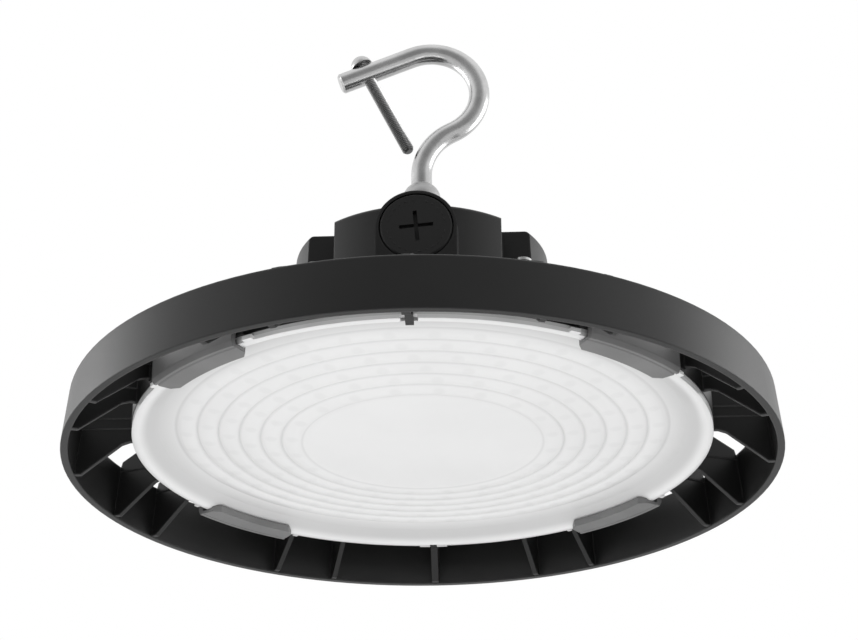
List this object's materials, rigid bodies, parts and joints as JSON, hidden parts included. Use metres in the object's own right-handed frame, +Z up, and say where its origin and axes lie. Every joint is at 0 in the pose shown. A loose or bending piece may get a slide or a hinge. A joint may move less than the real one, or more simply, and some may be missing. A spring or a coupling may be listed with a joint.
{
  "type": "high bay light",
  "caption": "Round hook-hung high bay light: black finned casting with a ribbed rim, frosted ringed lens held by grey clips, drum-shaped driver cover, and a steel hook closed by a screw.",
  "frame": {"origin": "centre of the rim's flat lower edge, on the light's own axis", "axes": "+Z up along the axis towards the hook, as the light hangs; +X to the right of the front port, in the hook's plane; +Y to the cable gland at the back"},
  "size_m": [0.32, 0.32, 0.2263],
  "materials": {
    "black_casting": "satin black powder coat over die-cast aluminium",
    "grey_clip": "mid-grey painted sheet metal",
    "black_plastic": "matt black nylon",
    "zinc_bar": "bright zinc-plated steel bar",
    "satin_nut": "matt silver",
    "steel_screw": "plated steel",
    "frosted_lens": "frosted white polycarbonate",
    "silicone": "pale silicone",
    "black_rubber": "black rubber",
    "white_board": "white solder mask on an aluminium board",
    "led_chip": "phosphor-filled package",
    "white_plastic": "white nylon",
    "green_board": "green circuit board",
    "ferrite": "dark ferrite with wound coil",
    "capacitor_sleeve": "shrink-sleeved aluminium can",
    "filter_box": "yellow potted box",
    "bare_aluminium": "bare aluminium",
    "brass_post": "turned brass",
    "red_lead": "red silicone sheath",
    "black_lead": "black silicone sheath",
    "green_block": "green nylon terminal block"
  },
  "bodies": {
    "root": {"housing": "black_casting", "driver_cover": "black_casting", "cover_gasket": "black_rubber", "cover_screws": "steel_screw", "port_plug": "black_plastic", "port_oring": "black_rubber", "cable_gland": "black_plastic", "gland_washer": "black_rubber", "gland_locknut": "black_plastic", "gland_seal": "black_rubber", "gland_nut": "black_plastic", "hook": "zinc_bar", "hook_collar": "satin_nut", "hook_washer": "steel_screw", "hook_nut": "steel_screw", "closure_screw": "steel_screw", "lens": "frosted_lens", "lens_gasket": "silicone", "lens_clip_right_back": "grey_clip", "lens_clip_left_back": "grey_clip", "lens_clip_left_front": "grey_clip", "lens_clip_right_front": "grey_clip", "led_board": "white_board", "leds": "led_chip", "board_screws": "steel_screw", "board_terminal": "white_plastic", "lead_positive": "red_lead", "lead_negative": "black_lead", "lead_grommet": "silicone", "driver_board": "green_board", "driver_standoffs": "brass_post", "driver_screws": "steel_screw", "transformer": "ferrite", "capacitors": "capacitor_sleeve", "choke": "ferrite", "filter_capacitor": "filter_box", "heat_bar": "bare_aluminium", "input_block": "green_block", "port_socket": "white_plastic"}
  },
  "joints": []
}
